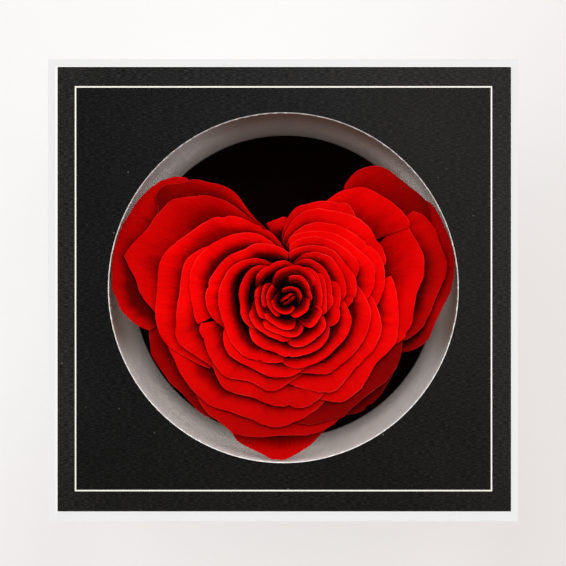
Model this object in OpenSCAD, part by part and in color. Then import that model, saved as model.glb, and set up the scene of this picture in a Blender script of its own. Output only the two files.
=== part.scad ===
// Gift box with a round window over a heart-shaped preserved rose.
// The box is a wrapped board tray under a telescoping lid. Inside, a card platform
// holds a rolled card tube, and the rose stands in a foam block at the tube's foot.
// The origin is the centre of the resting face, with +Z up through the window.

/* [Box] */
// Width of the lid
box_w = 150; // [142:1:175]
// Depth of the lid
box_d = 147.5; // [142:0.5:175]
// Height of the closed box
box_h = 98; // [94:1:115]
// Thickness of the greyboard walls
board_t = 2; // [1.5:0.1:2.5]
// Thickness of the white wrapping paper
wrap_t = 0.2; // [0.15:0.05:0.3]
// Thickness of the glue line between paper and board
glue_t = 0.15; // [0.1:0.05:0.25]
// Thickness of the lining paper
liner_t = 0.2; // [0.15:0.05:0.3]
// Depth of the paper that is turned in over a rim
turn_in = 14; // [8:1:18]
// Distance that a lining stops short of its rim
liner_drop = 5; // [3:1:7]
// Width of each leg of a corner stay
stay_w = 12; // [8:1:16]

/* [Lid] */
// Height of the lid's skirt
lid_h = 30; // [22:1:40]
// Clearance between lid and base on each side
lid_gap = 0.6; // [0.4:0.1:1]
// Clearance between the lid's ceiling and the base's rim
seat_gap = 0.1; // [0.05:0.05:0.2]
// Thickness of the black face card
face_t = 0.35; // [0.3:0.05:0.5]
// White margin beside the face card
face_margin_x = 2.7; // [1.5:0.1:4]
// White margin before and behind the face card
face_margin_y = 2.9; // [1.5:0.1:4]
// Distance from the card's side edge to the keyline
keyline_in_x = 5.75; // [4:0.25:8]
// Distance from the card's front or rear edge to the keyline
keyline_in_y = 6.25; // [4:0.25:8]
// Width of the keyline
keyline_w = 0.45; // [0.3:0.05:0.8]
// Depth of the pressed groove that holds the keyline foil
keyline_deep = 0.1; // [0.06:0.02:0.14]

/* [Window] */
// Width of the lid's frame between the window and the nearer sides
window_frame = 17.75; // [16.5:0.25:21]
// Distance of the window's centre to the right of the box's centre
window_x = 0.1; // [-1:0.1:1]
// Distance of the window's centre behind the box's centre
window_y = 0.8; // [-1:0.1:1]

/* [Insert] */
// Distance that the tube's wall stands back from the window's edge
tube_setback = 1.2; // [0.8:0.1:2]
// Thickness of the tube's wall
tube_t = 1; // [0.8:0.1:1.2]
// Clearance above the tube, under the lid
tube_head = 0.5; // [0.4:0.1:0.8]
// Width of the slit where the tube's edges meet
seam_gap = 0.3; // [0.2:0.1:0.6]
// Direction of the tube's seam, in degrees from the right
seam_az = 172; // [150:1:210]
// Width of the tape over the seam
tape_w = 18; // [12:1:24]
// Thickness of the tape over the seam
tape_t = 0.15; // [0.1:0.05:0.25]
// Thickness of the platform's card
platform_t = 0.8; // [0.6:0.1:1.2]
// Depth of the platform below the base's rim
platform_drop = 1; // [0.8:0.1:2]
// Clearance round the insert's pieces
insert_gap = 0.3; // [0.2:0.05:0.4]
// Height of the foam block
foam_h = 10.7; // [10:0.1:18]
// Thickness of the flocked floor
floor_t = 0.6; // [0.4:0.1:1]

/* [Rose] */
// Distance of the rose's heart to the right of the tube's axis
rose_x = 1.5; // [0:0.1:2.5]
// Distance of the rose's heart behind the tube's axis
rose_y = -3.3; // [-4:0.1:-2]
// Distance from the lid's face down to the highest petals
rose_deep = 6.4; // [6.2:0.1:9]
// Height of the bloom above its dish
rose_h = 46; // [42:1:50]
// Thickness of a petal
petal_t = 0.4; // [0.35:0.05:0.45]
// Clearance between petals and the tube's wall
petal_gap = 0.35; // [0.3:0.05:0.5]
// Clearance between a petal's foot and the dish
foot_gap = 0.2; // [0.1:0.05:0.3]
// Diameter of the stem
stem_d = 6; // [5:0.5:7]
// Depth of the stem in the foam
stem_in = 9; // [6:0.5:10]

/* [Hidden] */
$fn = 96;
// Overrun of every cut
over = 1;

// Paper and glue outside a board, and everything from a tray's outside to its floor
skin = wrap_t + glue_t;
floor_stack = skin + board_t + glue_t + liner_t;
// From a tray's outside to the inner face of the turned-in paper
wall_stack = 2 * skin + board_t;

// The base slides into the lid's lining
base_w = box_w - 2 * (wall_stack + liner_t + lid_gap);
base_d = box_d - 2 * (wall_stack + liner_t + lid_gap);
lid_top = box_h - face_t;
ceiling_z = lid_top - floor_stack;
base_h = ceiling_z - seat_gap;

// The face card and its keyline
face_w = box_w - 2 * face_margin_x;
face_d = box_d - 2 * face_margin_y;
keyline_outer_w = face_w - 2 * keyline_in_x;
keyline_outer_d = face_d - 2 * keyline_in_y;
// The card and its line are glued a touch off centre
face_x = 0.4;
face_y = 0.35;
keyline_x = -0.25;
keyline_y = 0.1;

// The window and the insert
window_d = min(box_w, box_d) - 2 * window_frame;
tube_r = window_d / 2 + tube_setback;
tube_top = ceiling_z - tube_head;
platform_w = base_w - 2 * (wall_stack + liner_t + insert_gap);
platform_d = base_d - 2 * (wall_stack + liner_t + insert_gap);
platform_top = base_h - platform_drop;
foam_top = floor_stack + foam_h;
floor_z = foam_top + floor_t;

// The rose's receptacle: a hip that spreads into a dish
dish_z = box_h - rose_deep - rose_h;
dish_slope_share = 0.15;
dish_t = 2.4;
hip_h = 12;
hip_r = 7.5;
neck_r = 3.6;
sepal_t = 0.6;
sepal_w = 13;
sepal_count = 5;

// How far the petals' feet stand from the axis, as shares of how far their rims do:
// inside the bud, and added outside it
bud_r = 13.5;
claw_in_share = 0.55;
claw_out_share = 0.3;
// How a petal flares outward and how its top rounds over, as exponents
flare = 1.5;
crown = 1.3;
// How the rims sink at the bud and at the outside of the bloom
bud_sink = 3;
edge_sink = 4;
// How much of its width a petal keeps at its foot, and how much its shoulders drop
foot_share = 0.4;
shoulder_share = 0.3;
shoulder = 12;
// Degrees of a petal's spread in each facet across it
petal_step = 9;
// Direction of the lobe that sets the rose's reach
lobe_az = 168;

// Petals of each row, from the bud outward. A petal is its middle direction and half its
// spread in degrees, its rim's distance from the axis at its first edge, middle and last
// edge in hundredths of the rose's reach, and the share of its full height that it keeps.
// A pointed petal has a seventh value, the exponent of its rim, where 2 is round.
bud_shares = [
    [225, 84, 3.4, 3, 3.4, 1], [50, 64, 4.2, 3.6, 3.2, 1], [48, 112, 8.2, 6.8, 6.1, 1],
    [220, 70, 8, 9, 6.6, 1]
];
row_1_shares = [[205, 59, 11, 11.6, 11.4, 1], [305, 55, 9.7, 11, 12.2, 1], [20, 57, 13.8, 13.8, 13.6, 1]];
row_2_shares = [
    [85, 73, 15, 17.2, 13.4, 1, 1.4], [175, 37, 16.2, 14.4, 13.2, 1], [246, 57, 15.2, 17, 14.6, 1],
    [320, 36, 17, 19.6, 19, 1], [18, 45, 15.9, 17.8, 18.4, 1]
];
row_3_shares = [
    [190, 50, 19.2, 18.4, 18.9, 1], [255, 50, 20.6, 20.6, 20.2, 1], [8, 50, 21.8, 22, 21, 1],
    [119, 53, 19.9, 20.6, 22, 1]
];
row_4_shares = [
    [233, 59, 22.8, 23.5, 23.6, 1], [300, 46, 26.3, 26, 24, 1], [28, 62, 26.9, 25.4, 21.6, 1]
];
row_5_shares = [
    [176, 72, 23, 27.3, 27, 1], [268, 64, 31.1, 33, 32, 1], [352, 42, 29, 30.2, 29.2, 1],
    [34, 54, 34, 32, 24, 1]
];
row_6_shares = [
    [183, 85, 24, 38.5, 37.2, 1], [312, 54, 40.8, 38.3, 36.4, 1], [36, 54, 39.5, 36.8, 26.2, 1]
];
row_7_shares = [
    [153, 59, 26.8, 40.3, 48.5, 1], [246, 54, 42.6, 44.2, 43, 1], [323, 52, 48.5, 47.5, 45.5, 1],
    [48, 42, 42.4, 41, 29.2, 1]
];
row_8_shares = [
    [146, 48, 31, 50, 56.5, 1], [180, 46, 50, 62, 64, 1], [240, 46, 55, 53.3, 52.4, 1],
    [317, 48, 56, 55.6, 52.2, 1], [42, 49, 49.4, 45.8, 33, 1]
];
row_9_shares = [
    [158, 64, 31, 71, 69, 1], [256, 46, 59.5, 60.5, 59, 1], [324, 48, 65, 63, 62, 1],
    [43.5, 51.5, 55, 50.8, 36, 1]
];
row_10_shares = [
    [246, 49, 78, 71.8, 68, 1], [305, 44, 75, 71, 73.2, 1], [0, 38, 66.9, 69, 64.5, 1],
    [58, 40, 61, 55.5, 40, 1]
];
row_11_shares = [
    [155, 45, 47.5, 91, 81, 1], [262, 46, 78.4, 79, 74.5, 1], [4, 37, 75, 84, 90, 1],
    [52, 21, 84.5, 73.2, 60.5, 1], [70, 29, 65, 57, 43, 1]
];
row_12_shares = [
    [130, 21, 52, 86.5, 94.5, 1], [162, 32, 96, 100.5, 92, 1], [226, 36, 86, 81, 78, 0.88],
    [266, 28, 81, 92.5, 77, 0.85, 0.85], [312, 26, 75, 75, 72, 0.88], [10, 34, 84, 95, 97, 0.95],
    [48, 16.5, 94.5, 91.5, 80, 1], [96, 11, 47, 45.5, 48.5, 0.85]
];

// A box centred on the axis, between two heights
module block(w, d, z0, z1) {
    translate([-w / 2, -d / 2, z0]) cube([w, d, z1 - z0]);
}

// Paper round the outside of a tray, over its rim and turned in, with the mouth up
module tray_wrap(w, d, h) {
    mouth_w = w - 2 * wall_stack;
    mouth_d = d - 2 * wall_stack;
    difference() {
        block(w, d, 0, h);
        block(w - 2 * wrap_t, d - 2 * wrap_t, wrap_t, h + over);
    }
    difference() {
        block(w, d, h - wrap_t, h);
        block(mouth_w, mouth_d, h - wrap_t - over, h + over);
    }
    difference() {
        block(mouth_w + 2 * wrap_t, mouth_d + 2 * wrap_t, h - turn_in, h);
        block(mouth_w, mouth_d, h - turn_in - over, h + over);
    }
}

// Board of a tray inside its paper
module tray_board(w, d, h) {
    difference() {
        block(w - 2 * skin, d - 2 * skin, skin, h - skin);
        block(w - 2 * (skin + board_t), d - 2 * (skin + board_t), skin + board_t, h);
    }
}

// Paper stays glued round the board's four upright corners
module tray_stays(w, d, h) {
    difference() {
        block(w - 2 * wrap_t, d - 2 * wrap_t, skin, h - skin);
        block(w - 2 * skin, d - 2 * skin, 0, h);
        block(w - 2 * (skin + stay_w), d, 0, h);
        block(w, d - 2 * (skin + stay_w), 0, h);
    }
}

// Lining of a tray: a sheet on the floor with flaps up the walls
module tray_liner(w, d, h) {
    liner_w = w - 2 * wall_stack;
    liner_d = d - 2 * wall_stack;
    floor_under = skin + board_t + glue_t;
    difference() {
        block(liner_w, liner_d, floor_under, h - liner_drop);
        block(liner_w - 2 * liner_t, liner_d - 2 * liner_t, floor_under + liner_t, h);
    }
}

// Turns a tray upside down under the face card, and cuts the window through it
module as_lid() {
    difference() {
        translate([0, 0, lid_top]) mirror([0, 0, 1]) children();
        window_cut(lid_top - floor_stack);
    }
}

// The window's cylinder, from a height to clear of the face
module window_cut(z0) {
    translate([window_x, window_y, z0 - over])
        cylinder(d = window_d, h = box_h - z0 + 2 * over);
}

module base_wrap() {
    color("white") tray_wrap(base_w, base_d, base_h);
}

module base_board() {
    color([0.8, 0.78, 0.73]) tray_board(base_w, base_d, base_h);
}

module base_corner_stays() {
    color("wheat") tray_stays(base_w, base_d, base_h);
}

module base_liner() {
    color("white") tray_liner(base_w, base_d, base_h);
}

module lid_wrap() {
    color("white") as_lid() tray_wrap(box_w, box_d, lid_h);
}

module lid_board() {
    color([0.8, 0.78, 0.73]) as_lid() tray_board(box_w, box_d, lid_h);
}

module lid_corner_stays() {
    color("wheat") as_lid() tray_stays(box_w, box_d, lid_h);
}

module lid_liner() {
    color("white") as_lid() tray_liner(box_w, box_d, lid_h);
}

// A square frame as wide as the keyline
module keyline_frame(z0, z1) {
    translate([face_x + keyline_x, face_y + keyline_y, 0]) difference() {
        block(keyline_outer_w, keyline_outer_d, z0, z1);
        block(keyline_outer_w - 2 * keyline_w, keyline_outer_d - 2 * keyline_w, z0 - over, z1 + over);
    }
}

module face_card() {
    color([0.12, 0.12, 0.12]) difference() {
        translate([face_x, face_y, 0]) block(face_w, face_d, lid_top, box_h);
        window_cut(lid_top);
        keyline_frame(box_h - keyline_deep, box_h + over);
    }
}

module keyline_foil() {
    color("ivory") keyline_frame(box_h - keyline_deep, box_h);
}

// Card platform with a flap folded down along each side, round the tube
module insert_platform() {
    hole_r = tube_r + tube_t + insert_gap;
    flap_d = platform_d - 2 * platform_t;
    color("white") difference() {
        block(platform_w, platform_d, floor_stack, platform_top);
        block(platform_w - 2 * platform_t, flap_d, floor_stack - over, platform_top - platform_t);
        translate([window_x, window_y, platform_top - platform_t - over])
            cylinder(r = hole_r, h = platform_t + 2 * over);
    }
}

// Card rolled into a tube, with its edges meeting at a fine slit
module tube() {
    color("white") translate([window_x, window_y, floor_stack]) difference() {
        cylinder(r = tube_r + tube_t, h = tube_top - floor_stack);
        translate([0, 0, -over]) cylinder(r = tube_r, h = tube_top - floor_stack + 2 * over);
        rotate(seam_az) translate([tube_r / 2, -seam_gap / 2, -over])
            cube([tube_r, seam_gap, tube_top - floor_stack + 2 * over]);
    }
}

// Tape round the outside of the tube's seam, under the platform
module tube_seam_tape() {
    tape_r = tube_r + tube_t;
    spread = tape_w / tape_r * 180 / PI;
    tape_h = platform_top - platform_t - insert_gap - floor_stack;
    color("wheat") translate([window_x, window_y, floor_stack]) rotate(seam_az - spread / 2)
        rotate_extrude(angle = spread) translate([tape_r, 0]) square([tape_t, tape_h]);
}

// A disc that fits in the tube, with a hole for the stem
module tube_disc(z0, z1, hole_z) {
    difference() {
        translate([window_x, window_y, z0]) cylinder(r = tube_r - insert_gap, h = z1 - z0);
        translate([window_x + rose_x, window_y + rose_y, hole_z])
            cylinder(d = stem_d + 2 * foot_gap, h = z1 - hole_z + over);
    }
}

module foam_block() {
    color("dimgray") tube_disc(floor_stack, foam_top, foam_top - stem_in);
}

module floor_disc() {
    color([0.05, 0.02, 0.02]) tube_disc(foam_top, floor_z, foam_top - over);
}

// Places its children on the rose's axis
module at_rose() {
    translate([window_x + rose_x, window_y + rose_y, 0]) children();
}

module stem() {
    stem_top = dish_z - dish_t - hip_h;
    color("olivedrab") at_rose() translate([0, 0, foam_top - stem_in])
        cylinder(d = stem_d, h = stem_top - foam_top + stem_in);
}

// Height of the dish's top at a distance from the axis
function dish_top(r) = dish_z + dish_slope_share * r;

// Distance of a petal's foot from the axis, for the distance of its rim
function claw(rim) = claw_in_share * min(rim, bud_r) + claw_out_share * max(rim - bud_r, 0);

// Distance from the rose's axis to the tube's wall, less the petals' clearance
function wall_reach(az) =
    let (
        along = rose_x * cos(az) + rose_y * sin(az),
        wall = tube_r - petal_gap
    )
    sqrt(wall * wall - rose_x * rose_x - rose_y * rose_y + along * along) - along;

rose_reach = wall_reach(lobe_az);
dish_r = claw(rose_reach) + 2 * petal_t;

// Hip and dish, turned round one profile
module receptacle() {
    hip_z = dish_z - dish_t - hip_h;
    color("olivedrab") at_rose() rotate_extrude() polygon([
        [0, hip_z], [neck_r, hip_z], [hip_r, hip_z + hip_h / 3], [hip_r, hip_z + hip_h / 1.5],
        [hip_r + neck_r, dish_z - dish_t], [dish_r, dish_top(dish_r) - dish_t / 2],
        [dish_r, dish_top(dish_r)], [0, dish_z]
    ]);
}

// Sepals that lie under the dish, each the shape where two circles cross
module calyx() {
    sepal_l = dish_r - hip_r / 2;
    round_r = (sepal_l * sepal_l + sepal_w * sepal_w) / (4 * sepal_w);
    shift = round_r - sepal_w / 2;
    sepal_z = dish_z - dish_t - foot_gap;
    rise = dish_top(dish_r) - dish_t / 2 - dish_z + dish_t;
    color("darkolivegreen") at_rose() for (i = [0 : sepal_count - 1]) rotate(i * 360 / sepal_count)
        intersection() {
            translate([hip_r + neck_r + sepal_l / 2 - foot_gap, 0, sepal_z - sepal_w])
                linear_extrude(2 * sepal_w) intersection() {
                    translate([0, shift]) circle(r = round_r);
                    translate([0, -shift]) circle(r = round_r);
                }
            rotate_extrude() polygon([
                [hip_r + neck_r, sepal_z], [dish_r, sepal_z + rise],
                [dish_r, sepal_z + rise - sepal_t], [hip_r + neck_r, sepal_z - sepal_t]
            ]);
        }
}

// Distance of a petal's rim from the axis, where u runs from -1 to 1 across the petal
function rim(p, u) =
    let (
        round_share = len(p) > 6 ? p[6] : 2,
        share = p[3] + (p[4] - p[2]) / 2 * u + ((p[2] + p[4]) / 2 - p[3]) * pow(abs(u), round_share)
    )
    min(rose_reach * share / 100, wall_reach(p[0] + p[1] * u));

// Distance that the rim would have at the petal's full height, where it keeps a share of it
function full_rim(r, kept) =
    let (
        k = pow(kept, flare),
        claw_zero = (claw_in_share - claw_out_share) * bud_r
    )
    kept == 1 ? r : (r - claw_zero * (1 - k)) / (claw_out_share * (1 - k) + k);

// Height of a full petal's rim at its distance from the axis
function rim_z(r) =
    box_h - rose_deep
    - bud_sink * pow(max(1 - r / bud_r, 0), 2)
    - edge_sink * pow(min(r / rose_reach, 1), 4);

// A point of a petal: u runs across it and v up it, and side is 1 outside and -1 inside
function petal_point(p, u, v, side) =
    let (
        spread = foot_share + (1 - foot_share) * sqrt(v),
        az = p[0] + p[1] * u * spread,
        r1 = full_rim(rim(p, u * spread), p[5]),
        r0 = claw(r1),
        z0 = dish_top(r0) + foot_gap,
        z1 = rim_z(r1),
        t = v * p[5] * (1 - shoulder_share * pow(abs(u), shoulder)),
        run = flare * (r1 - r0) * pow(t, flare - 1),
        climb = crown * (z1 - z0) * pow(max(1 - t, 0), crown - 1),
        half = side * petal_t / 2 / norm([run, climb]),
        r = r0 + (r1 - r0) * pow(t, flare) + climb * half,
        z = z0 + (z1 - z0) * (1 - pow(1 - t, crown)) - run * half
    )
    [r * cos(az), r * sin(az), z];

// A petal is a closed shell of two grids of points, joined round their edges
module petal(p) {
    across = 2 * ceil(p[1] / petal_step);
    up = 4;
    row = across + 1;
    grid = row * (up + 1);
    points = [
        for (side = [1, -1]) for (j = [0 : up]) for (i = [0 : across])
            petal_point(p, sin(90 * (2 * i / across - 1)), j / up, side)
    ];
    outside = [
        for (j = [0 : up - 1]) for (i = [0 : across - 1])
            let (a = j * row + i)
            each [[a, a + row + 1, a + 1], [a, a + row, a + row + 1]]
    ];
    inside = [for (f = outside) [f[0] + grid, f[2] + grid, f[1] + grid]];
    loop = concat(
        [for (i = [0 : across - 1]) i],
        [for (j = [0 : up - 1]) j * row + across],
        [for (i = [across : -1 : 1]) up * row + i],
        [for (j = [up : -1 : 1]) j * row]
    );
    edge = [
        for (k = [0 : len(loop) - 1])
            let (a = loop[k], b = loop[(k + 1) % len(loop)])
            each [[a, b, b + grid], [a, b + grid, a + grid]]
    ];
    polyhedron(points, concat(outside, inside, edge), convexity = 6);
}

// A row of petals in one red
module petal_row(shares, red) {
    color([red, 0.02, 0.02]) at_rose() for (p = shares) petal(p);
}

base_wrap();
base_board();
base_corner_stays();
base_liner();
lid_wrap();
lid_board();
lid_corner_stays();
lid_liner();
face_card();
keyline_foil();
insert_platform();
tube();
tube_seam_tape();
foam_block();
floor_disc();
stem();
receptacle();
calyx();
petal_row(bud_shares, 0.55);  // bud_petals
petal_row(row_1_shares, 0.6);  // petal_row_1
petal_row(row_2_shares, 0.7);  // petal_row_2
petal_row(row_3_shares, 0.75);  // petal_row_3
petal_row(row_4_shares, 0.8);  // petal_row_4
petal_row(row_5_shares, 0.85);  // petal_row_5
petal_row(row_6_shares, 0.85);  // petal_row_6
petal_row(row_7_shares, 0.85);  // petal_row_7
petal_row(row_8_shares, 0.85);  // petal_row_8
petal_row(row_9_shares, 0.85);  // petal_row_9
petal_row(row_10_shares, 0.8);  // petal_row_10
petal_row(row_11_shares, 0.7);  // petal_row_11
petal_row(row_12_shares, 0.55);  // petal_row_12
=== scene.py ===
import math

import bpy
import numpy as np
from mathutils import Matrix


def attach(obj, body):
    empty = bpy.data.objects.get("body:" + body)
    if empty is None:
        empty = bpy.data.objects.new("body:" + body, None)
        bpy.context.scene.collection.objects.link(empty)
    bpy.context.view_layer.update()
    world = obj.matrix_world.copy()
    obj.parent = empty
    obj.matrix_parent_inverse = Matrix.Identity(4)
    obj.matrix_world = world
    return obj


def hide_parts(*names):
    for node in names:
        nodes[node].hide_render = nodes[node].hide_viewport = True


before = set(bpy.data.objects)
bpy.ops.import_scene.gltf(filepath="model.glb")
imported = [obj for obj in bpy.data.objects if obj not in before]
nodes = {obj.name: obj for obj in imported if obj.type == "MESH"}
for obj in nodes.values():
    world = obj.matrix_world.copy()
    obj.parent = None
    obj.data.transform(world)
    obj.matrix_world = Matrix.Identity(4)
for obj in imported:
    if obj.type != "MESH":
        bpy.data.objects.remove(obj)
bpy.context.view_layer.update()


# ---- The view ----
# The camera looks straight down on the face from 455 mm above it, a little right of the
# box's centre, so its picture is shifted back by eleven pixels of the 566.
picture_px = 566
face_z = 0.098
stand_off = 0.455
width_in_view = 0.1805
camera_data = bpy.data.cameras.new("view")
camera_data.sensor_width = 36.0
camera_data.lens = 36.0 * stand_off / width_in_view
camera_data.shift_x = -11 / picture_px
camera_data.shift_y = -1 / picture_px
camera = bpy.data.objects.new("view", camera_data)
camera.location = (0.0035, 0.0026, face_z + stand_off)
bpy.context.scene.collection.objects.link(camera)
bpy.context.scene.camera = camera
bpy.context.scene.view_settings.view_transform = "Standard"


# ---- The light ----
# One broad soft lamp stands behind the box, above its upper edge in the picture, in a room
# that is dim in front and paler behind. Eight very weak lamps in a ring under the outer
# petals lift the tube's wall out of the dark.
def feed(slot, value):
    """Links a Shade to a socket or sets a plain value. A colour is three numbers, or one."""
    if isinstance(value, Shade):
        slot.id_data.links.new(value.socket, slot)
    elif slot.type == "RGBA":
        slot.default_value = (*value, 1) if hasattr(value, "__len__") else (value,) * 3 + (1,)
    else:
        slot.default_value = value


class Shade:
    """A shader socket that takes part in arithmetic: each sum on it adds the node it needs."""

    def __init__(self, socket):
        self.socket = socket

    def make(self, kind, settings, inputs, out=0):
        """Adds a node to this socket's tree: its settings first, then values or links."""
        made = self.socket.id_data.nodes.new("ShaderNode" + kind)
        for key, value in settings.items():
            setattr(made, key, value)
        for key, value in inputs.items():
            feed(made.inputs[key], value)
        return Shade(made.outputs[out])

    def reckon(self, sum_kind, first, second):
        """Colours meet in a Mix node, vectors in Vector Math and numbers in Math."""
        kinds = {part.socket.type for part in (first, second) if isinstance(part, Shade)}
        if "RGBA" in kinds:
            return self.make("Mix", {"data_type": "RGBA", "blend_type": sum_kind},
                             {0: 1.0, 6: first, 7: second}, 2)
        kind = "VectorMath" if "VECTOR" in kinds else "Math"
        return self.make(kind, {"operation": sum_kind}, {0: first, 1: second})

    def __add__(self, other):
        return self.reckon("ADD", self, other)

    def __radd__(self, other):
        return self.reckon("ADD", other, self)

    def __sub__(self, other):
        return self.reckon("SUBTRACT", self, other)

    def __rsub__(self, other):
        return self.reckon("SUBTRACT", other, self)

    def __mul__(self, other):
        return self.reckon("MULTIPLY", self, other)

    def __rmul__(self, other):
        return self.reckon("MULTIPLY", other, self)

    def choose(self, low, high):
        """A colour between two, by this value."""
        return self.make("Mix", {"data_type": "RGBA"}, {0: self, 6: low, 7: high}, 2)

    def ease(self, start, end, low=0.0, high=1.0):
        """Rises smoothly from low to high while this value goes from start to end."""
        return self.make("MapRange", {"interpolation_type": "SMOOTHSTEP"},
                         {0: self, 1: start, 2: end, 3: low, 4: high})

    def away_from(self, centre):
        """How far this value lies from another, on either side of it."""
        return self.make("Math", {"operation": "ABSOLUTE"}, {0: self - centre})

    def axes(self):
        """The three numbers of this vector."""
        split = self.make("SeparateXYZ", {}, {0: self})
        return [Shade(out) for out in split.socket.node.outputs]

    def noise(self, scale, detail, roughness=0.5):
        """Cloudy noise between 0 and 1 at this place."""
        return self.make("TexNoise", {}, {"Vector": self, "Scale": scale, "Detail": detail,
                                          "Roughness": roughness})

    def bump(self, strength, distance):
        """The normal of a surface that this value raises, at 1, by a distance in metres."""
        return self.make("Bump", {}, {"Strength": strength, "Distance": distance,
                                      "Height": self})


def dress(sockets, **values):
    """Sets or links a shader's inputs, named with _ for each space."""
    for key, value in values.items():
        feed(sockets[key.replace("_", " ")], value)


lamp_data = bpy.data.lights.new("window_light", "AREA")
lamp_data.shape = "RECTANGLE"
lamp_data.size, lamp_data.size_y = 1.1, 0.7
lamp_data.energy = 10.5
lamp_data.color = (1.0, 0.985, 0.965)
lamp = bpy.data.objects.new("window_light", lamp_data)
lamp.location = (0.02, 0.4, 1.15)
lamp.rotation_euler = (math.radians(-20), 0, 0)
bpy.context.scene.collection.objects.link(lamp)

ring_r, ring_z = 0.034, 0.056
for turn, milliwatts in enumerate((0.8, 3.7, 0.1, 2.9, 0.5, 4.4, 3.1, 4.4)):
    fill_data = bpy.data.lights.new("well_fill", "POINT")
    fill_data.energy = milliwatts * 0.001
    fill_data.color = (1.0, 0.93, 0.9)
    fill_data.shadow_soft_size = 0.006
    fill = bpy.data.objects.new("well_fill", fill_data)
    bearing = turn * math.pi / 4
    fill.location = (ring_r * math.cos(bearing), ring_r * math.sin(bearing), ring_z)
    bpy.context.scene.collection.objects.link(fill)

world = bpy.data.worlds.new("room")
bpy.context.scene.world = world
world.use_nodes = True
toward = Shade(world.node_tree.nodes.new("ShaderNodeTexCoord").outputs["Generated"])
behind = toward.axes()[1]
room = behind.make("MapRange", {}, {0: behind, 1: -0.9, 2: 0.9, 3: 0.17, 4: 0.74})
seen = behind.make("LightPath", {}, {}, "Is Camera Ray")
dress(world.node_tree.nodes["Background"].inputs, Color=(0.97, 0.98, 1.0),
      Strength=seen.make("Mix", {}, {0: seen, 2: room, 3: 0.94}))


# ---- The table ----
# A plain pale sheet under the box. The camera sees it nearly white, and it keeps the box's soft
# shadow. Painted shade makes it darker and warmer towards the lower right, and painted light
# lifts it in front of the box, where that shadow falls.
def new_finish(name):
    """A new material, with the place on the object in metres and the shader's inputs."""
    material = bpy.data.materials.new(name)
    material.use_nodes = True
    tree = material.node_tree
    place = Shade(tree.nodes.new("ShaderNodeTexCoord").outputs["Object"])
    return material, place, tree.nodes["Principled BSDF"].inputs


table_material, place, sockets = new_finish("pale_table")
x, y, z = place.axes()
# Painted light: lighter in front of the box, where its shadow falls
painted_shadow_lift = y.ease(-0.05, -0.09) * (x * x).ease(0.0081, 0.0025)
# Painted shade: darker and warmer towards the lower right
tone = ((x - y).ease(-0.12, 0.14).choose((0.94, 0.93, 0.925), (0.835, 0.79, 0.775))
        * painted_shadow_lift.choose(1, (1.08, 1.09, 1.09)))
dress(sockets, Base_Color=tone, Roughness=0.85, Specular_IOR_Level=0.1)
rays = place.make("LightPath", {}, {}).socket.node.outputs
seen = (Shade(rays["Is Camera Ray"]) + Shade(rays["Is Glossy Ray"])
        + Shade(rays["Is Transmission Ray"]))
glow = tone.make("Emission", {}, {"Color": tone, "Strength": 1.0})
table_nodes = table_material.node_tree.nodes
lit = Shade(table_nodes["Principled BSDF"].outputs[0])
dress(table_nodes["Material Output"].inputs,
      Surface=seen.make("MixShader", {}, {0: seen.ease(0.0, 1.0, 0.0, 0.8), 1: lit, 2: glow}))

reach, clear_of_box = 3, 0.0002
table_mesh = bpy.data.meshes.new("table")
table_mesh.from_pydata([(-reach, -reach, 0), (reach, -reach, 0), (reach, reach, 0),
                        (-reach, reach, 0)], [], [(0, 1, 2, 3)])
table_mesh.materials.append(table_material)
table = bpy.data.objects.new("table", table_mesh)
table.location.z = -clear_of_box
bpy.context.scene.collection.objects.link(table)


# ---- Greyboard trays ----
# Base and lid are trays of pale greyboard 2 mm thick. The board shows only at the cut edge
# of the window, where its layers and torn fibres are bare.
def coat(material, *names):
    """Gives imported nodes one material."""
    for name in names:
        for slot in nodes[name].material_slots:
            slot.material = material


board_material, place, sockets = new_finish("greyboard")
layers = (place * (150.0, 150.0, 4200.0)).noise(5.0, 3.0)
mottle = (layers * 0.5 + place.noise(1400.0, 5.0) * 0.5).ease(0.35, 0.65)
dress(sockets, Base_Color=mottle.choose((0.62, 0.58, 0.53), (0.93, 0.91, 0.87)),
      Roughness=0.92, Specular_IOR_Level=0.15, Normal=mottle.bump(0.6, 0.0003))
coat(board_material, "base_board", "lid_board")


# ---- White wrapping paper ----
# Smooth white paper, glued round each tray and turned in over its rim, with soft folds,
# faint fibres and a slight cockle from the glue. Painted light makes it lighter towards the
# front and darker towards the back, and a painted highlight runs in a fine line along the
# face card's edge.
wrap_material, place, sockets = new_finish("white_wrap")
x, y, z = place.axes()
fibre = place.noise(2600.0, 4.0)
cockle = place.noise(45.0, 2.0)
scuff = place.noise(260.0, 6.0).ease(0.62, 0.74)
white = fibre.ease(0.3, 0.7).choose((0.785, 0.785, 0.79), (0.82, 0.818, 0.822))
# Painted light: lighter towards the front, darker towards the back
white = white * scuff.choose(1, (0.965, 0.96, 0.95)) * y.ease(-0.072, 0.072).choose(1.025, 0.945)
# A painted highlight: a fine bright line along the face card's edge
line_centre, line_half, line_wide = (0.00015, 0.00025), (0.0729, 0.0714), 0.0003
beside_card = x.away_from(line_centre[0]).ease(line_half[0], line_half[0] - line_wide)
before_card = y.away_from(line_centre[1]).ease(line_half[1], line_half[1] - line_wide)
painted_edge_highlight = beside_card * before_card * z.ease(face_z - 0.001, face_z - 0.0008)
dress(sockets, Base_Color=painted_edge_highlight.choose(white, (0.96, 0.96, 0.955)),
      Roughness=fibre.ease(0.3, 0.7, 0.5, 0.62), Specular_IOR_Level=0.3,
      Normal=(fibre * 0.06 + cockle).bump(0.25, 0.0004))
coat(wrap_material, "base_wrap", "lid_wrap")
for name in ("base_wrap", "lid_wrap"):
    soften = nodes[name].modifiers.new("soft_folds", "BEVEL")
    soften.width = 0.00018
    soften.segments = 2
    soften.limit_method = "ANGLE"


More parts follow.
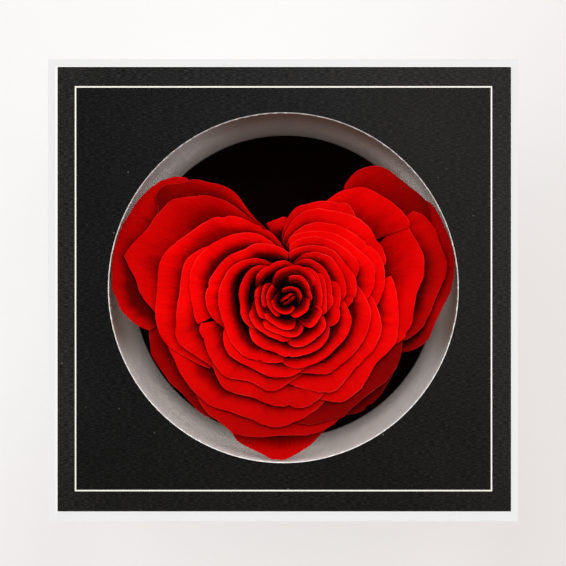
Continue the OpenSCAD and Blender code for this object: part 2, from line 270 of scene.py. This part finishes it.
# ---- Corner stays and seam tape ----
# Brown gummed kraft paper, pressed wet over the board's corners before the wrap goes on,
# and over the seam of the tube.
kraft_material, place, sockets = new_finish("gummed_kraft")
fibre = (place * (300.0, 300.0, 1400.0)).noise(5.0, 5.0)
dress(sockets, Base_Color=fibre.ease(0.3, 0.7).choose((0.42, 0.3, 0.17), (0.58, 0.44, 0.28)),
      Roughness=0.7, Specular_IOR_Level=0.25, Normal=fibre.bump(0.3, 0.0002))
coat(kraft_material, "base_corner_stays", "lid_corner_stays", "tube_seam_tape")


# ---- Linings ----
# Thin uncoated white paper, glued inside the lid and the base as their last layer. It
# stops short of the rims.
lining_material, place, sockets = new_finish("lining_paper")
fibre = place.noise(1800.0, 5.0)
blotch = place.noise(30.0, 3.0)
dress(sockets, Base_Color=fibre.ease(0.3, 0.7).choose((0.8, 0.795, 0.78), (0.87, 0.865, 0.85)),
      Roughness=0.85, Specular_IOR_Level=0.15,
      Normal=(fibre * 0.15 + blotch).bump(0.3, 0.0003))
coat(lining_material, "base_liner", "lid_liner")


# ---- Black face card ----
# Black card with a fine linen emboss, glued on the lid, with specks of pale dust on it. The
# border outside the keyline is lighter than the panel inside it. Painted light makes the card
# lighter towards the upper right, and the border lighter on the left and darker along the
# bottom. A painted warm cast tints the black towards the lower right.
panel_centre = (0.00015, 0.00045)
panel_half = (0.0665, 0.0646)
card_material, place, sockets = new_finish("black_linen_card")
x, y, z = place.axes()
border = x.make("Math", {"operation": "MAXIMUM"}, {
    0: x.away_from(panel_centre[0]).ease(panel_half[0] - 0.0004, panel_half[0] + 0.0002),
    1: y.away_from(panel_centre[1]).ease(panel_half[1] - 0.0004, panel_half[1] + 0.0002)})
weft = (place * (120.0, 1400.0, 0.0)).noise(5.0, 4.0, 0.65)
warp = (place * (1400.0, 200.0, 0.0)).noise(5.0, 3.0, 0.6)
linen = (weft * 0.75 + warp * 0.25).ease(0.42, 0.58)
cloud = place.noise(22.0, 3.0).ease(0.35, 0.7)
# Painted light: the card is lighter towards the upper right
painted_light_slope = (x + y * 0.7).ease(-0.03, 0.1, -0.2, 0.2)
# A painted warm cast of the light tints the black towards the lower right
ink = (x - y).ease(-0.13, 0.13).choose((0.028, 0.028, 0.029), (0.03, 0.027, 0.0225))
ink = ink * (linen * 0.52 + cloud * 0.1 + painted_light_slope).choose(0, 1)
# The border is lighter than the panel; painted light makes it lighter on the left, darker at the
# bottom
border_and_painted_light = y.ease(-0.071, -0.05, 0.15, 0.46) + x.ease(-0.055, -0.07, 0.0, 0.3)
ink = ink + (border * border_and_painted_light * (linen * 1.3 + 0.13)).choose(0, (0.019, 0.0173, 0.0165))
speck = place.make("TexVoronoi", {"feature": "F1"}, {"Vector": place, "Scale": 330.0})
dust = speck.ease(0.11, 0.05) * place.noise(120.0, 2.0).ease(0.62, 0.68)
dress(sockets, Base_Color=(dust * 0.4).choose(ink, (0.34, 0.32, 0.3)),
      Roughness=linen.ease(0, 1, 0.72, 0.58), Specular_IOR_Level=0.12,
      Normal=linen.bump(0.5, 0.00012))
coat(card_material, "face_card")


# ---- Cream keyline ----
# A thin line of cream foil, pressed with a heated die into a groove of the face card all
# round its panel.
foil_material, place, sockets = new_finish("cream_foil")
grain = place.noise(3000.0, 3.0)
dress(sockets, Base_Color=grain.ease(0.3, 0.7).choose((0.86, 0.84, 0.74), (1.0, 0.98, 0.88)),
      Roughness=0.45, Specular_IOR_Level=0.4, Normal=grain.bump(0.3, 0.0001))
coat(foil_material, "keyline_foil")


# ---- Fibres on the window's cut edge ----
# The die leaves a bright ragged lip of paper fibre round the window's cut edge. It is part
# of the lid's layers, and stands a few tenths of a millimetre into the opening.
window = (0.0001, 0.0008)
window_r = 0.056
turns = 900
angles = np.linspace(0, 2 * math.pi, turns, endpoint=False)
chance = np.random.default_rng(7)


def ragged(scale, steps):
    """Round-the-circle noise between 0 and 1 from a few random waves."""
    total = np.zeros(turns)
    for wave in range(steps):
        total += chance.normal() * np.sin(angles * int(chance.integers(scale, scale * 4))
                                          + chance.uniform(0, 6.3))
    return 0.5 + 0.5 * np.tanh(total / math.sqrt(steps) * 1.3)


# The lip's rings of points: how far below the face, and the share of the lip's full reach
lip_rings = [(0.00034, 0.1), (0.00044, 0.85), (0.0009, 1.0), (0.0018, 0.7), (0.0029, 0.3)]
lip_least, lip_more, lip_jog = 0.00018, 0.00022, 0.00006
front_gap, back_gap = 0.00002, 0.00001
lip_tooth = ragged(30, 14) * 0.6 + ragged(90, 14) * 0.4
lip_in = lip_least + lip_more * lip_tooth ** 1.4
points, faces = [], []
for below, share in lip_rings:
    jog = lip_jog * (ragged(60, 10) - 0.5)
    radius = window_r - front_gap - lip_in * share
    for angle, far, up in zip(angles, radius, jog):
        points.append((window[0] + far * math.cos(angle), window[1] + far * math.sin(angle),
                       face_z - below + up))
back_r = window_r - back_gap
for below in (lip_rings[-1][0], lip_rings[0][0]):
    for angle in angles:
        points.append((window[0] + back_r * math.cos(angle),
                       window[1] + back_r * math.sin(angle), face_z - below))
rings = len(lip_rings) + 2
for ring in range(rings):
    upper = (ring + 1) % rings
    for step in range(turns):
        ahead = (step + 1) % turns
        faces.append((ring * turns + step, ring * turns + ahead,
                      upper * turns + ahead, upper * turns + step))
fibre_mesh = bpy.data.meshes.new("window_edge_fibres")
fibre_mesh.from_pydata(points, [], faces)
fibre_material, place, sockets = new_finish("torn_fibre")
fluff = place.noise(900.0, 5.0)
dress(sockets, Base_Color=fluff.ease(0.35, 0.65).choose((0.86, 0.82, 0.77), (1.0, 0.99, 0.97)),
      Roughness=0.95, Specular_IOR_Level=0.1, Normal=fluff.bump(0.7, 0.0003))
fibre_mesh.materials.append(fibre_material)
fibres = bpy.data.objects.new("window_edge_fibres", fibre_mesh)
bpy.context.scene.collection.objects.link(fibres)
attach(fibres, "lid")


# ---- Card platform ----
# White card with a flap folded down along each side. It holds the tube upright and hides
# the corners of the base.
platform_material, place, sockets = new_finish("platform_card")
fibre = place.noise(2000.0, 5.0)
warping = place.noise(18.0, 2.0)
dress(sockets, Base_Color=fibre.ease(0.3, 0.7).choose((0.8, 0.8, 0.79), (0.88, 0.88, 0.87)),
      Roughness=0.8, Specular_IOR_Level=0.2,
      Normal=(fibre * 0.1 + warping).bump(0.3, 0.0005))
coat(platform_material, "insert_platform")


# ---- Rolled tube ----
# Uncoated white card rolled round the rose, with fine grain up it and faint painted shadows
# where it is not quite round. Painted shade makes it darker and browner behind the heart's
# cleft and beside its shoulders, most towards the top.
tube_material, place, sockets = new_finish("rolled_card")
x, y, z = place.axes()
grain = (place * (900.0, 900.0, 160.0)).noise(5.0, 5.0)
dent = (place * (70.0, 70.0, 25.0)).noise(5.0, 2.0)
# Painted shade: darker and browner behind the cleft and beside the shoulders, most near the top
cleft_side = (x * 0.17 + y * 0.985).ease(0.04, 0.0555)
shoulders = y.ease(-0.028, -0.012) * y.ease(0.03, 0.01)
painted_wall_shade = (cleft_side + shoulders * 0.9) * z.ease(0.035, 0.09, 0.5, 1.0)
card = grain.ease(0.3, 0.7).choose((0.86, 0.84, 0.82), (0.92, 0.905, 0.89))
card = card * painted_wall_shade.choose(1, (0.36, 0.21, 0.15))
# Faint painted shadows in the dents where the card is not quite round
dress(sockets, Base_Color=card * dent.ease(0.3, 0.7).choose((0.94, 0.93, 0.92), 1),
      Roughness=0.8, Specular_IOR_Level=0.2,
      Normal=(grain * 0.12 + dent).bump(0.35, 0.0006))
coat(tube_material, "tube")


# ---- Foam block and flocked floor ----
# Black open-cell foam fills the tube's foot and grips the stem. A disc of black flocked
# paper covers it, so the well reads as near black. The faint red in the flock's colour is a
# painted reflection of the rose.
foam_material, place, sockets = new_finish("black_foam")
cells = place.make("TexVoronoi", {"feature": "F1"}, {"Vector": place, "Scale": 1500.0})
dress(sockets, Base_Color=cells.ease(0.1, 0.7).choose(0.008, 0.03),
      Roughness=0.95, Specular_IOR_Level=0.1, Normal=cells.bump(1.0, 0.0005))
coat(foam_material, "foam_block")
flock_material, place, sockets = new_finish("black_flock")
pile = place.noise(2400.0, 3.0)
# Painted reflection: a faint red from the rose in the flock's black
dress(sockets,
      Base_Color=pile.ease(0.3, 0.7).choose((0.004, 0.0006, 0.0006), (0.008, 0.0016, 0.0015)),
      Roughness=0.98, Specular_IOR_Level=0.02, Normal=pile.bump(0.6, 0.0003))
coat(flock_material, "floor_disc")


# ---- Stem, receptacle and sepals ----
# The dried green parts under the bloom: ribbed stem and dish, and thin veined sepals. The
# dish blushes red towards the petals that stand on it.
stem_material, place, sockets = new_finish("dried_stem")
rib = (place * (1500.0, 1500.0, 120.0)).noise(5.0, 4.0)
dress(sockets, Base_Color=rib.ease(0.3, 0.7).choose((0.09, 0.13, 0.03), (0.2, 0.26, 0.08)),
      Roughness=0.6, Specular_IOR_Level=0.3, Normal=rib.bump(0.5, 0.0004))
coat(stem_material, "stem")
dish_material, place, sockets = new_finish("rose_dish")
blush = place.axes()[2].ease(0.0435, 0.0452)
rib = place.noise(500.0, 4.0)
green = rib.ease(0.3, 0.7).choose((0.08, 0.12, 0.03), (0.17, 0.22, 0.07))
dress(sockets, Base_Color=blush.choose(green, (0.05, 0.002, 0.002)),
      Roughness=0.7, Specular_IOR_Level=0.2, Normal=rib.bump(0.5, 0.0004))
coat(dish_material, "receptacle")
sepal_material, place, sockets = new_finish("dried_sepal")
vein = place.noise(700.0, 6.0)
dress(sockets, Base_Color=vein.ease(0.3, 0.7).choose((0.05, 0.09, 0.02), (0.13, 0.18, 0.05)),
      Roughness=0.7, Specular_IOR_Level=0.25, Normal=vein.bump(0.5, 0.0004))
coat(sepal_material, "calyx")


# ---- Petals ----
# A preserved rose, its petals opened by hand into a heart. Each is a thin velvety sheet
# that climbs from the dish, flares and ends in a rim with soft corners. Lengths are in
# millimetres here, and distances are from the rose's axis.
rose_axis = (0.0016, -0.0025)
axis_in_tube = (1.5, -3.3)
tube_bore, wall_gap = 57.2, 0.35
wall_r = tube_bore - wall_gap
petal_top, dish_top, dish_slope, foot_gap = 91.6, 45.6, 0.15, 0.2
bud_r, claw_in, claw_out = 13.5, 0.55, 0.3
flare, crown = 1.5, 1.3

# A petal's numbers: its direction and half its spread in degrees, the distance of its rim at
# its start, middle and end in hundredths of the rose's reach, the share of the full height
# that it keeps and, where it isn't 2, how flat its rim is in the middle. The first two
# numbers name it in the tables below.
petal_rows = {
    "bud_petals": [
        (299, 80, 5.2, 2.4, 5.2, 1), (119, 80, 5.2, 2.4, 5.2, 1), (48, 116, 8.2, 6.4, 6.1, 1),
        (220, 76, 8, 9, 6.6, 1)],
    "petal_row_1": [
        (200, 68, 11.4, 11.6, 12, 1), (305, 55, 9.7, 11, 12.2, 1), (24, 62, 13.4, 13, 12, 1)],
    "petal_row_2": [
        (66, 84, 17.6, 17.2, 12.4, 1, 1.4), (172, 44, 15.4, 14.6, 14.4, 1),
        (246, 57, 15.2, 17, 14.6, 1), (320, 36, 17, 19.8, 20.4, 1), (18, 52, 19.6, 20, 20, 1)],
    "petal_row_3": [
        (190, 50, 19.2, 18.4, 18.9, 1), (255, 50, 20.6, 20.4, 20.2, 1),
        (4, 50, 22.8, 22.8, 22, 1), (119, 53, 19.9, 20.6, 22, 1)],
    "petal_row_4": [
        (233, 59, 22.8, 23.5, 23.6, 1), (300, 46, 26, 25.6, 24.6, 1),
        (28, 62, 26.9, 25.4, 21.6, 1)],
    "petal_row_5": [
        (176, 72, 23, 27.3, 27, 1), (268, 64, 29.5, 31, 31, 1), (352, 42, 29, 30.2, 29.2, 1),
        (34, 54, 34, 32, 24, 1)],
    "petal_row_6": [
        (183, 85, 24, 38.5, 37.2, 1), (312, 54, 40.8, 38.3, 36.4, 1),
        (36, 54, 39.5, 36.8, 26.2, 1)],
    "petal_row_7": [
        (151, 61, 26, 40.3, 48.5, 1), (246, 54, 42.6, 44.2, 43, 1),
        (323, 52, 48.5, 47.5, 45.5, 1), (48, 42, 42.4, 41, 29.2, 1)],
    "petal_row_8": [
        (144.5, 49.5, 30.2, 50, 56.5, 1), (180, 46, 50, 62, 64, 1), (240, 46, 55, 53.3, 52.4, 1),
        (317, 48, 56, 55.6, 52.2, 1), (42, 49, 49.4, 45.8, 33, 1)],
    "petal_row_9": [
        (156.5, 65.5, 30, 71, 69, 1), (256, 46, 59.5, 60.5, 59, 1), (324, 48, 65, 63, 62, 1),
        (43.5, 51.5, 55, 50.8, 36, 1)],
    "petal_row_10": [
        (246, 49, 78, 71.8, 68, 1), (305, 44, 75, 71, 73.2, 1), (-2, 36, 66.9, 72, 89.5, 1),
        (58, 40, 61, 55.5, 40, 1)],
    "petal_row_11": [
        (155, 45, 47.5, 91, 81, 1), (262, 46, 78.4, 79, 74.5, 1), (5, 30, 68, 86, 93, 1),
        (52, 22, 86, 74, 60.5, 1), (70, 29, 65, 57, 43, 1)],
    "petal_row_12": [
        (130, 21, 47, 86, 94.5, 1), (162, 32, 96, 100.5, 92, 1), (226, 36, 86, 81, 78, 0.88),
        (266, 28, 81, 92.5, 77, 0.85, 0.85), (312, 26, 75, 75, 72, 0.88),
        (1.5, 34.5, 71, 90, 101, 0.95), (45, 19.5, 95.4, 91.5, 88, 1),
        (96, 11, 44.5, 43, 46, 0.85)]}

# Petals with a broader lip, a scoop out of the rim, a rim that slopes off and a square end
wide_lipped, scooped, sloping, square_ended = (66, 84), (155, 45), (45, 19.5), (1.5, 34.5)

# Corners of the rims that show most: how far the rim sags between them, then their places
rim_corners = {
    (155, 45): (0.05, -0.34, 0.25), (130, 21): (0.03, -0.04, 0.33),
    (162, 32): (0.004, 0.1, 0.75), (45, 19.5): (0.012, 0.72), (1.5, 34.5): (0.012, -0.35, 0.3),
    (52, 22): (0.03, 0.2), (5, 30): (0.03, -0.4, 0.25, 0.7), (305, 44): (0.045, -0.3, 0.35),
    (246, 49): (0.05, -0.2, 0.4)}

# Petals with painted shade: how dim they are painted at their middle, by how much more at
# their end, and how many times sooner than usual their painted shade deepens below the rim
petal_painted_shade = {
    (305, 44): (0.8, 0.2, 1), (155, 45): (0.38, -0.2, 0.9), (262, 46): (0.27, 0, 1),
    (-2, 36): (0.25, 0.1, 0.55), (5, 30): (0.6, -0.3, 2), (52, 22): (0.1, -0.1, 1),
    (70, 29): (0.18, 0, 1), (130, 21): (0.65, 0.85, 1), (162, 32): (0.4, 0.13, 3.2),
    (226, 36): (0.65, 0, 1), (266, 28): (0, 0, 1), (312, 26): (0.9, 0, 1),
    (1.5, 34.5): (0.6, -0.5, 3), (45, 19.5): (0.75, -0.45, 1), (96, 11): (0.27, 0, 1)}


def wall_distance(degrees):
    """Distance of the tube's wall, less a fine gap."""
    turn = np.radians(degrees)
    along = axis_in_tube[0] * np.cos(turn) + axis_in_tube[1] * np.sin(turn)
    return np.sqrt(wall_r ** 2 - axis_in_tube[0] ** 2 - axis_in_tube[1] ** 2
                   + along ** 2) - along


rose_reach = float(wall_distance(168.0))


def claw(rim):
    """Where on the dish a petal's foot stands, for the distance of its rim."""
    return claw_in * np.minimum(rim, bud_r) + claw_out * np.maximum(rim - bud_r, 0)


def rim_distance(petal, across):
    """Distance of the rim, as it would be at the petal's full height."""
    middle, spread, first, centre, last, kept = petal[:6]
    flatness = petal[6] if len(petal) > 6 else 2.0
    share = (centre + (last - first) / 2 * across
             + ((first + last) / 2 - centre) * np.abs(across) ** flatness)
    rim = np.minimum(rose_reach * share / 100, wall_distance(middle + spread * across))
    if kept == 1:
        return rim
    height = kept ** flare
    claw_shift = (claw_in - claw_out) * bud_r
    return (rim - claw_shift * (1 - height)) / (claw_out * (1 - height) + height)


def tuck(petal, side):
    """How far one end of a petal draws in, and 1 where it passes under the one inside it."""
    if petal[:2] == square_ended and side == 1:
        return 0.0, 0.0
    degrees = petal[0] + petal[1] * side
    end = float(rim_distance(petal, float(side)))
    inside = []
    for other in sum(petal_rows.values(), []):
        off = (degrees - other[0] + 180) % 360 - 180
        if other is not petal and abs(off) < other[1]:
            inside.append(float(rim_distance(other, off / other[1])))
    gap = end - max([rim for rim in inside if rim < end], default=0)
    stands_clear = gap > 2.2 + 0.05 * end
    if stands_clear:
        return 0.04, 0.0
    overlap, most_drawn = 0.9, 0.7
    drawn = min(most_drawn, (gap + overlap) / (end - claw(end)))
    return 1 - (1 - drawn) ** 0.667, 1.0


def end_drop(petal, across):
    """How far each part of the rim drops towards the petal's ends, and where it passes under."""
    drawn, under = zip(tuck(petal, -1), tuck(petal, 1))
    late = np.clip((np.abs(across) - 0.45) / 0.55, 0, 1)
    drop = (np.where(across < 0, *drawn) * late ** 2 * (3 - 2 * late)
            + 0.05 * np.abs(across) ** 14)
    if petal[:2] == sloping:
        drop = drop + 0.12 * np.maximum(across, 0) ** 5
    return drop, np.where(across < 0, *under)


def rim_fall(petal, across, luck):
    """How far the rim falls short: nearly straight between corners, with a tear and a fray."""
    spread = petal[1]
    inner = np.linspace(-1, 1, 3 + int(spread / 30))[1:-1]
    inner = inner + luck.uniform(-0.16, 0.16, len(inner))
    sag = 0.045
    if petal[:2] in rim_corners:
        sag, *inner = rim_corners[petal[:2]]
    corners = np.concatenate(([-1.3], inner, [1.3]))
    fall = np.zeros_like(across)
    for left, right in zip(corners[:-1], corners[1:]):
        between = (across >= left) & (across <= right)
        step = np.abs(2 * (across - left) / (right - left) - 1)
        fall[between] = luck.uniform(0.2 * sag, sag) * (1 - step[between] ** 1.2)
    tear = luck.uniform(-0.8, 0.8)
    tear_deep, tear_half = luck.uniform(0, min(0.03, sag)), 2.5
    fall += tear_deep * np.clip(1 - np.abs(across - tear) * spread / tear_half, 0, 1)
    frays = int(spread * 0.9)
    fall += np.interp(across, np.linspace(-1, 1, frays), luck.uniform(0, 0.007, frays))
    if petal[:2] == scooped:
        scoop_at, scoop_half, scoop_deep = 0.66, 0.42, 0.11
        fall += scoop_deep * np.clip(1 - ((across - scoop_at) / scoop_half) ** 2, 0, 1)
    return fall


# Long and short waves that bend the whole rose: their push, direction and phase. They die
# down close to the tube's wall and towards the petals' feet.
still_by_wall, still_below, wakes_over = 5.0, 50, 20.0
chance = np.random.default_rng(21)
waves = []
for length, size in ((24, 0.55), (17, 0.35), (12, 0.17), (8, 0.07), (5, 0.03)):
    for repeat in range(3):
        heading = chance.normal(size=3) * (1, 1, 0.5)
        heading *= 2 * math.pi / length / np.linalg.norm(heading)
        push = chance.normal(size=3)
        push[2] *= 0.7
        waves.append((push * size / np.linalg.norm(push), heading, chance.uniform(0, 6.3)))


def wander(right, back, up):
    """Bends the space that the petals stand in, all of it alike, so none of them cross."""
    radius = np.hypot(right + axis_in_tube[0], back + axis_in_tube[1])
    calm = (np.clip((wall_r - radius) / still_by_wall, 0, 1)
            * np.clip((up - still_below) / wakes_over, 0, 1))
    moved = [right.copy(), back.copy(), up.copy()]
    for push, pull, phase in waves:
        swing = np.sin(pull[0] * right + pull[1] * back + pull[2] * up + phase)
        for axis in range(3):
            moved[axis] += calm * push[axis] * swing
    return np.stack(moved, axis=-1)


# Rows of points up a petal, as shares of its height, closer together towards the rim
rise = np.array([0, 0.25, 0.45, 0.6, 0.7, 0.78, 0.84, 0.885, 0.92, 0.945, 0.965, 0.98, 0.99,
                 0.996, 1.0])

# How much lower the innermost and outermost rims stand, half a petal's thickness and how it
# thins over its last millimetres, and the curl of its rim
bud_lower, edge_lower = 3, 4
half_thick, thinner_rim, thins_over = 0.2, 0.13, 4.0
lip_long, lip_out, lip_back, lipless_r = 3.4, 2.0, 1.6, 54


def petal_sheet(petal, luck):
    """Both faces of a petal, then each point's way to the rim, painted shade and arc."""
    middle, spread, kept = petal[0], petal[1], petal[5]
    across = np.sin(np.linspace(-1, 1, max(24, int(spread)) * 2 + 1) * math.pi / 2)
    u, v = np.meshgrid(across, rise)
    wide = 0.4 + 0.6 * v ** 0.75
    degrees = middle + spread * u * wide
    rim = rim_distance(petal, np.clip(u * wide, -1, 1))
    foot = claw(rim)
    drop, under = end_drop(petal, u)
    t = v * kept * (1 - drop) * (1 - rim_fall(petal, across, luck)[None, :])

    # The sheet climbs steeply at first and then runs outward, and thins towards its rim
    base = dish_top + dish_slope * foot + foot_gap
    top = (petal_top - bud_lower * np.maximum(1 - rim / bud_r, 0) ** 2
           - edge_lower * np.minimum(rim / rose_reach, 1) ** 4)
    run = flare * (rim - foot) * t ** (flare - 1)
    climb = crown * (top - base) * np.maximum(1 - t, 0) ** (crown - 1)
    length = np.hypot(run, climb)
    near = (1 - v) * length / kept
    thin = half_thick - thinner_rim * np.clip(1 - near / thins_over, 0, 1)

    # Painted shade darkens it down from the rim, sooner near the bud and later towards the
    # heart's cleft
    painted_shade_depth = near / (1.0 + 0.0034 * rim ** 2)
    painted_shade_depth = painted_shade_depth * (1 - 0.4 * np.clip((rim * np.sin(np.radians(degrees)) - 15) / 9, 0, 1))

    # The last three millimetres of all but the outermost petals curl outward, and painted
    # shade darkens their ends where they pass under. The two in the bud's middle curl inward
    # instead, and their painted shade comes on more slowly.
    wider = 1.5 if petal[:2] == wide_lipped else 1.0
    enclosed = np.clip((lipless_r - rim) / 20, 0, 1)
    curl = enclosed * np.clip(rim / 6, 0.4, 1)
    bent = np.clip(1 - near / lip_long / wider, 0, 1) ** 1.5
    lip = curl * (lip_out * wider * (1 - 0.7 * under * np.abs(u) ** 4) * bent
                  - lip_back * wider * v)
    painted_shade_depth = painted_shade_depth + enclosed * 0.9 * under * np.abs(u) ** 6
    bud_middle = petal[3] < 3
    if bud_middle:
        lip = -1.3 * bent
        painted_shade_depth = near / 3.0

    turn = np.radians(degrees)
    sides = []
    for side in (1, -1):
        radius = foot + (rim - foot) * t ** flare + side * thin * climb / length + lip
        height = (base + (top - base) * (1 - (1 - t) ** crown) - side * thin * run / length
                  - 0.3 * curl * bent)
        sides.append(wander(radius * np.cos(turn), radius * np.sin(turn), height))
    arc = np.radians(spread * u * wide) * rim
    return sides, near, painted_shade_depth, arc


def sheet_faces(start, high, wide):
    """Faces of a petal's outer side, of its inner side, and of the edge that joins them."""
    size = high * wide
    faces = []
    for j in range(high - 1):
        for i in range(wide - 1):
            a = start + j * wide + i
            b = a + size
            faces.append((a, a + wide, a + wide + 1, a + 1))
            faces.append((b, b + 1, b + wide + 1, b + wide))
    ring = ([(0, i) for i in range(wide - 1)] + [(j, wide - 1) for j in range(high - 1)]
            + [(high - 1, i) for i in range(wide - 1, 0, -1)]
            + [(j, 0) for j in range(high - 1, 0, -1)])
    loop = [start + j * wide + i for j, i in ring]
    for a, b in zip(loop, loop[1:] + loop[:1]):
        faces.append((a, b, b + size, a + size))
    return faces


# Velvety red with fine veins, soft folds and faint bruises. Painted shade darkens it below the
# rim, on petals listed as shaded and towards the lower side of the heart, and a painted
# highlight lightens the rims. The mesh carries what it needs to know of each point.
carried = ("near_rim", "painted_shade_depth", "over", "tint", "outer")
petal_material, place, sockets = new_finish("red_petal")
near_rim, painted_shade_depth, over, tint, outer = (
    place.make("Attribute", {"attribute_name": name}, {}, "Fac") for name in carried)
veins = place.make("CombineXYZ", {}, {0: over * 1.6, 1: near_rim * 0.12, 2: tint * 40.0})
veins = veins.noise(1.0, 4.0, 0.6)
folds = place.make("CombineXYZ", {}, {0: over * 0.3, 1: near_rim * 0.1, 2: tint * 70.0 + 9.0})
folds = folds.noise(1.0, 2.0)
velvet = place.noise(2200.0, 3.0)
bruise = place.noise(110.0, 4.0).ease(0.3, 0.75)
# Painted shade: darker below the rim, with the folds shifting where it starts
red = (painted_shade_depth + folds * 0.8 - 0.4).ease(0.2, 1.45).choose((0.96, 0.0005, 0.0005), (0.2, 0, 0))
red = red * painted_shade_depth.ease(1.2, 3.3).choose(1, 0.2)
# Painted shade: the petals towards the lower side of the heart are darker
red = red * place.axes()[1].ease(-0.05, 0.005).choose(0.55, 1)
red = red * (veins * 0.2 + velvet * 0.12 + bruise * 0.14 + tint * 0.14 + 0.66).choose(0, 1)
# Painted shade on the petals listed as shaded, dimming their red
red = red * outer.choose(1, (0.2, 0.4, 0.5))
# Painted highlight: a lighter pinkish line in patches along the rims
edge = near_rim.ease(0.22, 0.04) * bruise * 0.3
dress(sockets, Base_Color=edge.choose(red, (0.95, 0.07, 0.055)),
      Roughness=velvet.ease(0.3, 0.7, 0.7, 0.8), Specular_IOR_Level=0.025,
      Normal=(veins * 0.4 + velvet * 0.05 + folds * 1.2).bump(0.7, 0.0006))

for row, (name, petals) in enumerate(petal_rows.items()):
    points, faces = [], []
    notes = {key: [] for key in carried}
    for number, petal in enumerate(petals):
        luck = np.random.default_rng(100 + 20 * row + number)
        sides, below_rim, painted_shade_below, arc = petal_sheet(petal, luck)
        shape = below_rim.shape
        faces += sheet_faces(sum(len(part) for part in points), *shape)
        points += [side.reshape(-1, 3) for side in sides]
        # Rows past the ninth get a little more painted shade with each row, unless listed
        painted_dim, growth, shade_sooner = petal_painted_shade.get(petal[:2], (max(0, row - 9) * 0.05, 0, 1))
        painted_dims = np.full(shape, painted_dim) + growth * np.linspace(-1, 1, shape[1])
        numbers = (below_rim, painted_shade_below * shade_sooner, arc, np.full(shape, luck.uniform(0, 1)), painted_dims)
        for key, values in zip(carried, numbers):
            notes[key] += [values.reshape(-1)] * 2
    points = np.concatenate(points) * 0.001 + (rose_axis[0], rose_axis[1], 0)
    mesh = bpy.data.meshes.new("rose_" + name)
    mesh.from_pydata(points.tolist(), [], faces)
    for key, values in notes.items():
        layer = mesh.attributes.new(key, "FLOAT", "POINT")
        layer.data.foreach_set("value", np.concatenate(values))
    mesh.shade_smooth()
    mesh.materials.append(petal_material)
    rose_row = bpy.data.objects.new("rose_" + name, mesh)
    bpy.context.scene.collection.objects.link(rose_row)
    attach(rose_row, "base")
    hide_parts(name)
